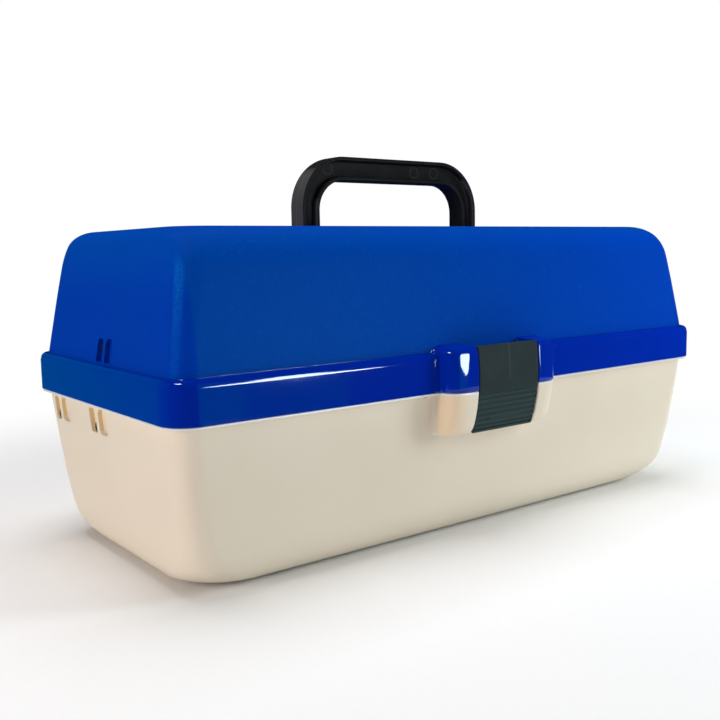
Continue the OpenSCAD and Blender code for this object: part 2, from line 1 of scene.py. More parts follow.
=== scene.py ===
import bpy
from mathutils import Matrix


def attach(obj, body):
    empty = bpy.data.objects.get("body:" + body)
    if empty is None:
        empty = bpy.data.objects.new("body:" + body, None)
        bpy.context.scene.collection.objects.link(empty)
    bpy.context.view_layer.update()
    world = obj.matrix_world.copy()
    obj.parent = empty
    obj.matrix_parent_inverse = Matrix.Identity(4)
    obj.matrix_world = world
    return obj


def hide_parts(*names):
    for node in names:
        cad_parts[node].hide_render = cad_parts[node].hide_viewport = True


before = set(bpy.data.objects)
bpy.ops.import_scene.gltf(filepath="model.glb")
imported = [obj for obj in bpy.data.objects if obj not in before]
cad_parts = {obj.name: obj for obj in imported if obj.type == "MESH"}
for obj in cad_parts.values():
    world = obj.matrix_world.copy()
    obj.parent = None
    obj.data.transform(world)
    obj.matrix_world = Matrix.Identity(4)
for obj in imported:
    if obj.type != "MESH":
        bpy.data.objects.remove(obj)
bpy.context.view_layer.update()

import math
from fnmatch import fnmatch

import bpy
import numpy as np
from mathutils import Matrix, Vector

# ---- Tub ----
# The lower half of the box: one injection moulding in beige plastic, drafted to leave its mould,
# with a flange that the lid shuts on, a dust lip above it, and two sockets in each end for the
# arms. Lengths here and below are in millimetres, and become metres when a piece is cast.


class Wire:
    """An output of a shader node. Arithmetic on it adds the Math nodes that work it out. Lengths
    in a shader are in metres."""

    def __init__(self, tree, output=None):
        self.tree, self.output = tree, output

    def node(self, kind, settings=(), sockets=(), outlet=0):
        """Adds a node: its settings first, then the values or wires of its sockets."""
        made = self.tree.nodes.new(kind)
        for name, value in dict(settings).items():
            setattr(made, name, value)
        for name, value in dict(sockets).items():
            if isinstance(value, Wire):
                self.tree.links.new(value.output, made.inputs[name])
            else:
                made.inputs[name].default_value = value
        return Wire(self.tree, made.outputs[outlet] if made.outputs else None)

    def maths(self, operation, *others):
        """A Math node on this number, then the others."""
        return self.node("ShaderNodeMath", {"operation": operation},
                         dict(enumerate((self, *others))))

    def vector(self, operation, *others, outlet=0):
        """A Vector Math node on this vector, then the others. Its outlet Value is a number."""
        return self.node("ShaderNodeVectorMath", {"operation": operation},
                         dict(enumerate((self, *others))), outlet)

    def __add__(self, other):
        return self.maths("ADD", other)

    def __sub__(self, other):
        return self.maths("SUBTRACT", other)

    def __mul__(self, other):
        return self.maths("MULTIPLY", other)

    __radd__ = __add__

    def rise(self, low, high):
        """0 below low and 1 above high, with a smooth step between."""
        return self.node("ShaderNodeMapRange", {"interpolation_type": "SMOOTHSTEP"},
                         {"Value": self, "From Min": low, "From Max": high})

    def grain(self, size, detail=2.0):
        """Noise from 0 to 1 whose blobs are size millimetres across."""
        return self.node("ShaderNodeTexNoise", {}, {
            "Vector": self, "Scale": 1000 / size, "Detail": detail})

    def axis(self, which):
        """X, Y or Z of this vector, for 0, 1 or 2."""
        return self.node("ShaderNodeSeparateXYZ", {}, {0: self}, which)

    def between(self, low, high):
        """The colour low where this number is 0, high where it is 1, and blends between."""
        share, first, second, mixed = 0, 6, 7, 2
        return self.node("ShaderNodeMix", {"data_type": "RGBA"},
                         {share: self, first: low, second: high}, mixed)


def linear(red, green, blue):
    """A screen colour from 0 to 255 as the linear colour that a shader takes."""
    v = np.array([red, green, blue]) / 255
    return (*np.where(v <= 0.04045, v / 12.92, ((v + 0.055) / 1.055) ** 2.4), 1.0)


def start_finish(name):
    """An empty material, and the wire that gives each point's place in the object."""
    finish = bpy.data.materials.new(name)
    finish.use_nodes = True
    finish.node_tree.nodes.clear()
    return finish, Wire(finish.node_tree).node("ShaderNodeTexCoord", outlet="Object")


def end_finish(place, bumps, depth, sockets):
    """Closes a material with its surface's sockets, and bumps of a depth in millimetres."""
    normal = place.node("ShaderNodeBump", {}, {
        "Height": bumps, "Strength": 1.0, "Distance": depth / 1000})
    shader = place.node("ShaderNodeBsdfPrincipled", {}, {**sockets, "Normal": normal})
    place.node("ShaderNodeOutputMaterial", {}, {"Surface": shader})


def moulded_beige(name, shown, drifted):
    """Satin beige plastic: a fine even skin, a little cloudier in broad drifts, and painted paler
    near the ground, a painted light standing in for light bounced off the floor. A painted
    highlight makes the flange paler still, and painted warm light makes the left side of the
    latch's housing warmer."""
    finish, place = start_finish(name)
    x, y, z = [place.axis(k) for k in range(3)]
    drift = place.grain(45, 1.0).rise(0.3, 0.7)
    skin = place.grain(0.9)
    colour = (drift * 0.5).between(linear(*shown), linear(*drifted))
    # Painted light: paler toward the floor, standing in for the light bounced off it.
    colour = (z.rise(0.05, 0.01) * 0.4).between(colour, linear(240, 230, 211))
    # Painted highlight: the flange is painted paler and cooler.
    flange = z.rise(0.0776, 0.0779) * z.rise(0.0796, 0.0792)
    colour = (flange * 0.7).between(colour, linear(222, 228, 232))
    # Painted warm light on the left side of the lower housing, standing in for light shining
    # through its thin plastic.
    cheek = y.rise(-0.0825, -0.084) * x.rise(-0.024, -0.036) * z.rise(0.0776, 0.077)
    colour = (cheek * 0.6).between(colour, linear(238, 208, 168))
    end_finish(place, skin, 0.03, {
        "Base Color": colour, "Roughness": 0.36 + skin * 0.1,
        "Specular IOR Level": 0.35})
    return finish


def at_height(z, top_half, height, draft, radius):
    """Half size of a drafted wall at height z above a rounded floor: the slope of the draft
    above, and below it the arc that is tangent to that slope and to the floor."""
    draft = math.radians(draft)
    slope = math.tan(draft)
    foot = top_half - height * slope
    low = np.clip(radius - z, 0, radius)
    arc = foot + radius * slope - radius / math.cos(draft) + np.sqrt(radius**2 - low**2)
    return np.where(z >= radius * (1 - math.sin(draft)), foot + z * slope, arc)


def around(half_x, half_y, radius, end_stops, centre_y=0.0, bow=0.0):
    """Rounded rectangles, one for each size given, as points anticlockwise from the right end:
    straight ends with points at end_stops, quarter circles, and long sides bowed outwards by a
    parabola of height bow."""
    sizes = [np.reshape(v, (-1, 1)).astype(float) for v in (half_x, half_y, radius, centre_y, bow)]
    half_x, half_y, radius, centre_y, bow = np.broadcast_arrays(*sizes)
    flat_x, flat_y = half_x - radius, half_y - radius
    ends = end_stops * np.minimum(1, flat_y / np.abs(end_stops).max())
    spread = np.linspace(-1, 1, 15)[1:-1]
    swell = half_y + bow * (1 - spread**2)
    turn = np.radians(np.linspace(0, 90, 13))
    corners = [
        (sx * flat_x + radius * np.cos(turn + start), sy * flat_y + radius * np.sin(turn + start))
        for sx, sy, start in zip((1, -1, -1, 1), (1, 1, -1, -1), np.radians([0, 90, 180, 270]))]
    runs = [(half_x + 0 * ends, ends), corners[0],
            (flat_x * spread[::-1], swell[:, ::-1]), corners[1],
            (-half_x + 0 * ends, ends[:, ::-1]), corners[2],
            (flat_x * spread, -swell), corners[3]]
    x, y = [np.concatenate([run[k] for run in runs], axis=1) for k in (0, 1)]
    return np.stack([x, y + centre_y], axis=2)


def loft(rows, closed=True, caps=True, cut=None):
    """Skin over rows of points, each row joined to the next: rows run from the top down, points
    anticlockwise, and faces look outwards. cut leaves out the faces whose middles it picks."""
    count, points = rows.shape[:2]
    here = np.arange(count * points).reshape(count, points)
    right = np.roll(here, -1, axis=1)
    quads = np.stack([here[:-1], here[1:], right[1:], right[:-1]], axis=2)
    quads = (quads if closed else quads[:, :-1]).reshape(-1, 4)
    flat = rows.reshape(-1, 3)
    if cut is not None:
        quads = quads[~cut(flat[quads].mean(axis=1))]
    faces = quads.tolist()
    if caps:
        faces += [here[0].tolist(), here[-1, ::-1].tolist()]
    return flat, faces


def with_height(plan, z):
    """Rows of plan points lifted to their heights."""
    heights = np.broadcast_to(np.reshape(z, (-1, 1, 1)), plan.shape[:2] + (1,))
    return np.concatenate([plan, heights], axis=2)


def rounded(corners, radii, steps=6):
    """Straight runs between corners, with each corner but the first and last rounded by an arc
    of its radius. The arc starts radius * tan(turn / 2) before the corner; where two arcs need
    more than the run between them, both shrink alike."""
    run = np.diff(corners, axis=1)
    length = np.maximum(np.linalg.norm(run, axis=2), 1e-6)
    ahead = run / length[..., None]
    a, b = ahead[:, :-1], ahead[:, 1:]
    turn = np.arctan2(a[..., 0] * b[..., 1] - a[..., 1] * b[..., 0], (a * b).sum(axis=2))
    reach = radii * np.tan(np.abs(turn) / 2)
    padded = np.pad(reach, ((0, 0), (1, 1)))
    room = np.minimum(1, length / np.maximum(padded[:, :-1] + padded[:, 1:], 1e-6))
    radii = radii * np.minimum(room[:, :-1], room[:, 1:])
    reach = radii * np.tan(np.abs(turn) / 2)
    swing = np.abs(turn)[..., None] * np.linspace(0, 1, steps + 1)
    inward = np.stack([-a[..., 1], a[..., 0]], axis=2) * np.sign(turn)[..., None]
    start = corners[:, 1:-1] - a * reach[..., None]
    along = np.sin(swing)[..., None] * a[:, :, None]
    aside = (1 - np.cos(swing))[..., None] * inward[:, :, None]
    arc = start[:, :, None] + radii[..., None, None] * (along + aside)
    return np.concatenate([corners[:, :1], arc.reshape(len(arc), -1, 2), corners[:, -1:]], axis=1)


def window_ring(low, high, radii, steps=8):
    """A rounded rectangle in Y and Z, anticlockwise seen from +X, steps faces to a corner. radii
    are those of the corners below and above."""
    (y0, z0), (y1, z1), (r0, r1) = low, high, radii
    turn = np.radians(np.linspace(0, 90, steps + 1))
    arcs = [(y + r * np.cos(turn + start), z + r * np.sin(turn + start)) for y, z, r, start in (
        (y1 - r0, z0 + r0, r0, -np.pi / 2), (y1 - r1, z1 - r1, r1, 0),
        (y0 + r1, z1 - r1, r1, np.pi / 2), (y0 + r0, z0 + r0, r0, np.pi))]
    return np.stack([np.concatenate([arc[k] for arc in arcs]) for k in (0, 1)], axis=1)


def window_frame(low, high, steps=8):
    """The same points spread round a plain rectangle, each corner's arc bent into its corner."""
    (y0, z0), (y1, z1) = low, high
    share = np.linspace(1, 0, steps // 2 + 1) * 0.45
    side = np.concatenate([share, 0 * share[1:]])
    other = side[::-1]
    w, h = y1 - y0, z1 - z0
    arcs = [(y1 - w * side, z0 + h * other), (y1 - w * other, z1 - h * side),
            (y0 + w * side, z1 - h * other), (y0 + w * other, z0 + h * side)]
    return np.stack([np.concatenate([arc[k] for arc in arcs]) for k in (0, 1)], axis=1)


def pocket(frame_box, window_box, radii, wall_x, floor_x, edge=0.35):
    """A pocket sunk into both ends' walls: from the frame cut out of the wall, over a rounded
    edge, straight in to the floor. wall_x gives the wall's face at a height."""
    low, high = np.array(window_box)
    depths, outlines = [0.0], [window_frame(*frame_box)]
    for angle in np.radians([0, 30, 60, 90]):
        out = edge * (1 - np.sin(angle))
        outlines.append(window_ring(low - out, high + out, np.array(radii) + out))
        depths.append(edge * (1 - np.cos(angle)))
    outlines.append(outlines[-1])
    yz = np.stack(outlines)
    x = wall_x(yz[..., 1]) - np.array(depths + [0])[:, None]
    x[-1] = floor_x
    right, outward = loft(np.concatenate([x[..., None], yz], axis=2), caps=False)
    inward = [face[::-1] for face in outward]
    inward.append(list(range(len(right) - yz.shape[1], len(right))))
    return [(right, inward), (right * [-1, 1, 1], [face[::-1] for face in inward])]


def in_frames(middle, windows, beyond):
    """Picks the faces of both end walls, beyond a distance, where the windows' frames go."""
    x, y, z = np.abs(middle[:, 0]), middle[:, 1], middle[:, 2]
    picked = np.zeros(len(middle), bool)
    for (low, high), *_ in windows:
        picked |= (x > beyond) & (y > low[0]) & (y < high[0]) & (z > low[1]) & (z < high[1])
    return picked


def slab(outline, x0, x1, edge=0.5):
    """A plate between x0 and x1 with a closed outline in Y and Z, anticlockwise seen from +X.
    Near both faces the outline draws in along its normals by a quarter circle of radius edge."""
    ahead = np.roll(outline, -1, axis=0) - np.roll(outline, 1, axis=0)
    outward = np.stack([ahead[:, 1], -ahead[:, 0]], axis=1)
    outward /= np.linalg.norm(outward, axis=1)[:, None]
    angle = np.radians([90, 60, 30, 0])
    x = np.concatenate([x0 + edge * (1 - np.sin(angle)), x1 - edge * (1 - np.sin(angle[::-1]))])
    inset = edge * (1 - np.cos(np.concatenate([angle, angle[::-1]])))
    yz = outline[None] - inset[:, None, None] * outward[None]
    rows = np.concatenate([np.broadcast_to(x[:, None, None], yz.shape[:2] + (1,)), yz], axis=2)
    return loft(rows[::-1])


def cast(name, patches, finishes, body, stands_for, satin=None):
    """Joins patches of skin into one piece in metres, smooth but for its sharp edges, which rides
    on a body and stands for CAD nodes. satin picks the faces that take the second finish."""
    vertices, faces, start = [], [], 0
    for points, skin in patches:
        vertices.append(points)
        faces += [[start + corner for corner in face] for face in skin]
        start += len(points)
    mesh = bpy.data.meshes.new(name)
    mesh.from_pydata((np.concatenate(vertices) / 1000).tolist(), [], faces)
    mesh.validate()
    mesh.shade_smooth()
    mesh.set_sharp_from_angle(angle=math.radians(40))
    for finish in finishes:
        mesh.materials.append(finish)
    if satin:
        middle = np.empty(len(mesh.polygons) * 3)
        mesh.polygons.foreach_get("center", middle)
        second = satin(middle.reshape(-1, 3) * 1000)
        mesh.polygons.foreach_set("material_index", second.astype(np.int32))
    piece = bpy.data.objects.new(name, mesh)
    bpy.context.scene.collection.objects.link(piece)
    even = piece.modifiers.new("even_shading", "WEIGHTED_NORMAL")
    even.keep_sharp = True
    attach(piece, body)
    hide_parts(*stands_for)


wall = 2.2
rim_z, lip_z, flange_z = 79.1, 83.1, 77.9
rim_half_l, rim_half_d = 176.2, 80.2
end_draft, side_draft = 5.5, 5.8
end_radius, side_radius = 17, 21
band_bow = 0.88


def tub_x(z):
    """Half length of the tub at height z."""
    return at_height(z, rim_half_l, rim_z, end_draft, end_radius)


def tub_y(z):
    """Half depth of the tub at height z."""
    return at_height(z, rim_half_d, rim_z, side_draft, side_radius)


def tub_corner(z):
    """Radius of the tub's upright corners: 11.4 at the rim and 32 at the floor, by a fifth power
    that keeps it even above and opens it out near the floor."""
    return 11.4 + 20.6 * (1 - np.minimum(z, rim_z) / rim_z) ** 5


# Each arm's socket shows as two windows with a springy tongue between them. A window has its
# frame in the wall's skin, its own box and the radii of its corners below and above.
socket_low, socket_high = 63.4, 76.9
windows = []
for pivot, last in ((11.0, 6.2), (61.0, 5.3)):
    windows += [
        (((pivot - 14.7, socket_low), (pivot - 2.4, socket_high)),
         ((pivot - 14.1, 63.9), (pivot - 4, 76.2)), (2.6, 3.6)),
        (((pivot - 2.4, socket_low), (pivot + 6.2, socket_high)),
         ((pivot - 0.8, 63.9), (pivot + last, 75.6)), (0.6, 0.9))]
tub_stops = np.array([-60, -40, -20, -3.7, 8.6, 17.2, 32, 46.3, 58.6, 67.2])

# Rows of the tub's profile, each with height, half length, half depth and corner radius: up the
# inside, over the dust lip, out round the flange and down the outside.
sweep = np.radians(np.linspace(0, 90, 11))
inner_z = np.concatenate([
    (side_radius - wall) * (1 - np.cos(sweep)), [40, 60, lip_z - wall - 0.6]])
inner = np.stack([
    inner_z + wall,
    at_height(inner_z, rim_half_l - wall, rim_z - wall, end_draft, end_radius - wall),
    at_height(inner_z, rim_half_d - wall, rim_z - wall, side_draft, side_radius - wall),
    tub_corner(inner_z + wall) - wall], axis=1)
outer_z = np.concatenate([
    [flange_z, socket_high, socket_low, 50, 36], side_radius * (1 - np.cos(sweep[::-1]))])
outer = np.stack([outer_z, tub_x(outer_z), tub_y(outer_z), tub_corner(outer_z)], axis=1)
lip_x, lip_y = tub_x(lip_z), tub_y(lip_z)
rim = np.array([
    [lip_z - 0.2, lip_x - wall + 0.15, lip_y - wall + 0.15, 9.4],
    [lip_z, lip_x - wall + 0.6, lip_y - wall + 0.6, 9.8],
    [lip_z, lip_x - 0.6, lip_y - 0.6, 10.8], [lip_z - 0.2, lip_x - 0.15, lip_y - 0.15, 11.2],
    [lip_z - 0.7, lip_x, lip_y, 11.4], [rim_z, tub_x(rim_z), tub_y(rim_z), 11.4],
    [rim_z, 179.3, 83.3, 13.1], [rim_z - 0.1, 179.5, 83.5, 13.3],
    [rim_z - 0.35, 179.6, 83.6, 13.4], [flange_z + 0.3, 179.6, 83.6, 13.4],
    [flange_z + 0.1, 179.5, 83.5, 13.3], [flange_z, 179.2, 83.2, 13.0]])
profile = np.concatenate([[[wall, 8, 4, 3]], inner, rim, outer, [[0, 8, 4, 3]]])
bow = np.zeros(len(profile))
bow[1 + len(inner) + 6:1 + len(inner) + 12] = band_bow
tub_rows = with_height(around(*profile[:, 1:].T, tub_stops, bow=bow), profile[:, 0])


def in_socket(middle):
    """Picks the walls and floors of the windows, painted warmer as a glow of light through thin
    plastic.
    The tub's inner skin, from 172.4 to 173.4 at this height, is left out."""
    x, y, z = np.abs(middle[:, 0]), middle[:, 1], middle[:, 2]
    picked = np.zeros(len(middle), bool)
    for _, ((y0, z0), (y1, z1)), _ in windows:
        inside = (y > y0 - 0.1) & (y < y1 + 0.1) & (z > z0 - 0.1) & (z < z1 + 0.1)
        picked |= inside & ((x < 172.4) | (x > 173.4)) & (x > 172) & (x < tub_x(z) - 0.3)
    return picked


socket_floor = 172.2
tub_skin = [loft(tub_rows, cut=lambda middle: in_frames(middle, windows, 174.2))]
for window in windows:
    tub_skin += pocket(*window, tub_x, socket_floor)

# The lower half of the latch's housing: two cheeks with round corners, and between them the
# recess that the latch plate lies in, with the ledge that its hook snaps under.
cheek_half, recess_half, recess_y = 38.4, 21.6, 84.2


def bulge(z):
    """How far the latch's face stands out at height z: a parabola, fullest at 85."""
    return 94.45 - np.where(z < 85, 0.0066, 0.0045) * (z - 85) ** 2


def cheeks(z, half, front, back, floor_y, thick=0.0):
    """Plan outlines of the housing at heights z, from the wall on the left, round a cheek, into
    the recess, and out round the other cheek. A cheek turns through 20 degrees on a radius of 20,
    then through 70 on 8.5. back is the wall's own distance; thick draws the outline in."""
    z, half, front, back, floor_y = np.broadcast_arrays(z, half, front, back, floor_y)
    half, front = half - thick, front - thick
    slot = recess_half + thick + 0 * z
    floor_y = np.minimum(floor_y - thick, front)
    size = np.clip((front - back) / 10.5, 0.02, 1)
    side = np.stack([
        -half - 6, -back, -half, -back, -half, 3.24 * size - front,
        8.9 * size - half, -front, -slot, -front, -slot, -floor_y], axis=1).reshape(-1, 6, 2)
    corners = np.concatenate([side, side[:, ::-1] * [-1, 1]], axis=1)
    soft = np.stack([1.8 + 0 * z, 8.5 * size, 20 * size, 0.9 + 0 * z, 0.5 + 0 * z], axis=1)
    plan = rounded(corners, np.concatenate([soft, soft[:, ::-1]], axis=1))
    return with_height(plan, z)


# Down the lower half: how far below the rim each row lies, and how far in it draws.
drop = np.array([
    0, 0, 0.1, 0.3, 0.7, 3, 6, 9, 12, 14.5, 16.5, 18.2, 19.6, 20.7, 21.5, 22.1, 22.4, 22.5, 22.5])
inset = np.array([
    8, 1, 0.45, 0.12, 0, 0, 0, 0, 0, 0, 0.05, 0.2, 0.5, 0.95, 1.6, 2.6, 4, 6, 14])
under_z = rim_z - drop
under_back = np.where(under_z > flange_z, 83.6, tub_y(under_z)) - 0.03
under_front = np.maximum(bulge(under_z) + 0.3 - inset, under_back)
under = cheeks(under_z, cheek_half - inset * 0.7, under_front, under_back, recess_y)
tub_skin.append(loft(under, closed=False, caps=False))
hook_half = 12
ledge = np.array([[-84.0, 68.5], [-84.0, 71.5], [-87.4, 69.5], [-87.4, 68.5]])
tub_skin.append(slab(ledge[::-1], -hook_half, hook_half, 0.3))

# Hinge knuckles, in pairs on brackets behind the wall.
hinge_x, hinge_y, hinge_z, knuckle_r = 110.0, 87.0, 78.5, 4.49


def knuckle(x0, x1, bend_end, arm_y, arm_z):
    """A hinge knuckle: a circle round the pin, from -90 degrees to bend_end, run out to an arm."""
    turn = np.radians(np.linspace(-90, bend_end, 19))
    bend = np.stack([
        hinge_y + knuckle_r * np.cos(turn), hinge_z + knuckle_r * np.sin(turn)], axis=1)
    arm = np.array([[arm_y, arm_z[1]], [arm_y, arm_z[0]]])
    return slab(np.concatenate([bend, arm]), x0, x1, 0.4)


for start in (-20.4, 8.4):
    for side in (-hinge_x, hinge_x):
        tub_skin.append(knuckle(side + start, side + start + 12, 180, 79.2, (74.0, 78.0)))
# The second finish is the same beige painted warmer: a painted glow for the windows' walls and
# floors.
beiges = [moulded_beige("moulded_beige", (227, 215, 196), (223, 210, 190)),
          moulded_beige("beige_painted_glow", (232, 203, 150), (228, 197, 143))]
cast("tub_shell", tub_skin, beiges, "tub", ["tub"], in_socket)

# ---- Lid ----
# The upper half: one moulding in blue plastic, satin and finely stippled on the dome, glossy on
# the skirt that covers the tub's rim. The handle folds into a pan in its top, and a pair of
# windows in each end shows where a tray link snaps in.


def polished_blue():
    """Glossy blue plastic: the skirt and the latch's housing, with faint flow clouds, and painted
    light that makes it lighter and bluer toward the right end.
    """
    finish, place = start_finish("polished_blue")
    drift = place.grain(30, 1.0).rise(0.3, 0.7)
    # Painted light: lighter and bluer toward the right end.
    along = place.axis(0).rise(-0.16, 0.2)
    colour = (along * 0.9 + drift * 0.1).between(linear(0, 36, 154), linear(0, 43, 172))
    end_finish(place, place.grain(3.0, 1.0), 0.006, {
        "Base Color": colour, "Roughness": 0.05 + drift * 0.01,
        "Specular IOR Level": 0.35, "Specular Tint": (0.7, 0.85, 1, 1)})
    return finish


def stippled_blue():
    """The same plastic off a stippled mould: satin, with fine pale specks, and painted lighter
    toward the top as painted light. The front's panel, a rectangle whose corners are rounded, is
    stippled more coarsely and looks flatter, and is painted bluer toward the right end. A painted
    highlight, a paler streak, runs along each upright corner."""
    finish, place = start_finish("stippled_blue")
    x, y, z = [place.axis(k) for k in range(3)]
    stipple = place.grain(1.4, 3.0)
    past = place.node("ShaderNodeCombineXYZ", {}, {
        0: (x.maths("ABSOLUTE") - 0.148).maths("MAXIMUM", 0.0),
        1: (z - 0.139).maths("MAXIMUM", 0.0)})
    front = y.rise(-0.055, -0.062)
    panel = past.vector("LENGTH", outlet="Value").rise(0.0185, 0.0165) * front
    drift = place.grain(60, 1.0).rise(0.3, 0.7)
    colour = (drift * 0.5).between(linear(0, 55, 168), linear(0, 57, 163))
    # Painted light: lighter toward the top of the dome.
    colour = (z.rise(0.125, 0.156) * 0.8).between(colour, linear(0, 69, 169))
    # The panel's own flatter tone, painted bluer toward the right end as painted light.
    panel_tone_painted_light = x.rise(-0.13, 0.17).between(linear(0, 66, 163), linear(0, 62, 176))
    colour = panel.between(colour, panel_tone_painted_light)
    facing = place.node("ShaderNodeTexCoord", outlet="Normal").vector("ABSOLUTE")
    # Painted highlight: a paler speckled streak along each upright corner, stronger higher up.
    streak_mask = facing.vector("DOT_PRODUCT", (0.86, 0.50, 0.10), outlet="Value").rise(0.945, 0.999)
    streak_mask = streak_mask * (0.4 + z.rise(0.105, 0.145) * 0.6)
    painted_streak = streak_mask * (0.2 + place.grain(0.7).rise(0.4, 0.65) * 0.6)
    colour = painted_streak.between(colour, linear(12, 104, 192))
    specks = stipple.rise(0.54, 0.74) * (0.15 + panel * 0.15)
    colour = specks.between(colour, linear(2, 92, 184))
    end_finish(place, stipple, 0.07, {
        "Base Color": colour, "Roughness": 0.42 + stipple * 0.1,
        "Specular IOR Level": 0.02, "Specular Tint": (0.05, 0.45, 0.4, 1)})
    return finish


def on_dome(middle):
    """Picks the stippled faces: all above the skirt but the housing, and the inside."""
    x, y, z = np.abs(middle).T
    return (z > crease_z + 0.2) & (y < 79.9) & ((y < 79.2) | (x > 41))


half_l, half_d = 180.0, 84.0
skirt_z, crease_z, dome_top = 79.3, 98.3, 160.5
dome_h = dome_top - crease_z
dome_half_l, dome_half_d = 175.6, 79.6
dome_end_draft, dome_side_draft = 9.2, 7.0
dome_end_radius, dome_side_radius = 8.4, 20


def dome_x(z):
    """Half length of the dome at height z: the tub's own formula, upside down."""
    return at_height(dome_top - z, dome_half_l, dome_h, dome_end_draft, dome_end_radius)


def dome_y(z):
    """Half depth of the dome at height z."""
    return at_height(dome_top - z, dome_half_d, dome_h, dome_side_draft, dome_side_radius)


def dome_corner(z):
    """Radius of the dome's upright corners: 9.6 at the skirt, and 15 at the top by a fourth power
    that keeps it even below."""
    return 9.6 + 5.4 * (1 - (dome_top - z) / dome_h) ** 4


def stack(*columns):
    """Columns of a profile side by side, with single numbers spread down them."""
    return np.stack(np.broadcast_arrays(*columns), axis=1)


# The tray link's clip shows through a pair of windows, listed as the tub's are.
link_window_top, link_y = 110.9, -0.3
lid_stops = np.array([-60, -40, -25, -12.9, -2.8, 6.4, 20, 40, 60])
lid_windows = [
    (((link_y - 12.6, 98.5), (link_y - 2.5, link_window_top)),
     ((link_y - 12.0, 98.8), (link_y - 3.4, 110.3)), (0.5, 3.2)),
    (((link_y - 2.5, 98.5), (link_y + 6.7, link_window_top)),
     ((link_y - 1.2, 98.8), (link_y + 6.1, 110.0)), (0.6, 3.2))]

# Rows of the lid's profile, each with height, half length, half depth, corner radius and the
# middle's place along Y: up out of the pan, down the dome and the skirt, up the inside, and back
# under the pan.
pan_y, pan_z, pan_x, pan_half = 19.75, 147.4, 64.7, 26.95
pan_deep = dome_top - pan_z
rise = np.array([0, 0, 0.3, 1.2, pan_deep - 0.8, pan_deep - 0.25, pan_deep])
grow = np.array([0, -1.8, -0.7, 0, 0, 0.2, 0.8])
pan = stack(pan_z + rise, pan_x + grow, pan_half + grow, 4 + grow, pan_y)
pan[0, 1:4] = 8, 4, 3
sweep = np.radians(np.linspace(0, 90, 17))
down = np.concatenate([
    dome_top - dome_side_radius * (1 - np.cos(sweep)), [128, link_window_top, 98.5]])
dome = stack(down, dome_x(down), dome_y(down), dome_corner(down), 0.0)
turn = np.radians(np.linspace(90, 0, 8))
edge_out = 3 * np.cos(turn)
edge = stack(95.3 + 3 * np.sin(turn), 176.8 + edge_out, 80.8 + edge_out, 10.8 + edge_out, 0.0)
skirt = np.concatenate([[[crease_z, 175.7, 79.7, 9.7, 0]], edge, [
    [94.7, half_l, half_d, 13.8, 0], [80.6, half_l, half_d, 13.8, 0],
    [skirt_z + 0.1, half_l, half_d, 13.8, 0], [skirt_z, half_l - 0.1, half_d - 0.1, 13.7, 0],
    [skirt_z, 178.1, 82.1, 11.9, 0], [79.6, 177.8, 81.8, 11.6, 0], [95.0, 177.6, 81.6, 11.4, 0],
    [96.1, 176.4, 80.4, 10.2, 0]]])
up = np.concatenate([
    [96.1], dome_top - wall - (dome_side_radius - 2) * (1 - np.cos(sweep[::-1]))])
below = dome_top - wall - up
inside = stack(
    up, at_height(below, dome_half_l - wall, dome_h, dome_end_draft, dome_end_radius - wall),
    at_height(below, dome_half_d - wall, dome_h, dome_side_draft, dome_side_radius - 2),
    np.maximum(dome_corner(up) - wall, 6), 0.0)
under_pan = np.array([[158.3, pan_x + wall, pan_half + wall, 6.2, pan_y],
                      [pan_z - wall, pan_x + wall, pan_half + wall, 6.2, pan_y],
                      [pan_z - wall, 8, 4, 3, pan_y]])
profile = np.concatenate([pan, dome, skirt, inside, under_pan])
bow = np.zeros(len(profile))
first = len(pan) + len(dome)
bow[first + 1:first + len(skirt)] = band_bow
plan = around(*profile[:, 1:4].T, lid_stops, centre_y=profile[:, 4], bow=bow)
lid_rows = with_height(plan, profile[:, 0])
clip_floor = 171.4
lid_skin = [loft(lid_rows, cut=lambda middle: in_frames(middle, lid_windows, 173.6))]
for window in lid_windows:
    lid_skin += pocket(*window, dome_x, clip_floor)

# The upper half of the latch's housing, which rises over the skirt's shoulder into the dome.
turn = np.radians(np.linspace(90, 0, 9))
over_z = np.concatenate([
    [101.9, 101.5, 101.2], 97.9 + 3.2 * np.sin(turn), [94, 90, 86, 82, 80.0, 79.5, skirt_z]])
over_in = np.concatenate([
    [14.4, 11.6, 7.6], 3.2 - 3.2 * np.cos(turn), [0, 0, 0, 0, 0, 0.1, 0.4]])
over_half = cheek_half - np.minimum(over_in, 3.2)


def shoulder(z):
    """The lid's own front at height z: the skirt, its rounded top edge, the shelf, the dome."""
    edge = 80.8 + np.sqrt(np.maximum(9 - np.maximum(z - 95.3, 0) ** 2, 0)) + band_bow * 0.97
    return np.where(z < crease_z, edge, dome_y(np.maximum(z, crease_z)))


over_back = shoulder(over_z) - 0.03
over_front = np.maximum(bulge(over_z) + 0.3 - over_in, over_back)
over_floor = np.where(over_z > crease_z, over_back + 0.01, recess_y)
over = cheeks(over_z, over_half, over_front, over_back, over_floor)
lid_skin.append(loft(over, closed=False, caps=False))
lining = cheeks(np.array([skirt_z, skirt_z, 95.0, 95.0]), cheek_half,
                np.array([94.3, 94.1, 93.9, 84.9]), 81.8, recess_y, thick=wall)
lid_skin.append(loft(lining, closed=False, caps=False))
for side in (-hinge_x, hinge_x):
    lid_skin.append(knuckle(side - 8, side + 8, 90, 82.6, (79.4, 83.0)))
blues = [polished_blue(), stippled_blue()]
cast("lid_shell", lid_skin, blues, "lid", ["lid"], on_dome)

# ---- Hinge pins and the other steel pins and rivets ----
# Plain turned steel, as drawn: two hinge pins, the handle's two headed pins, the latch's pin, and
# the rivets that the trays hang from.


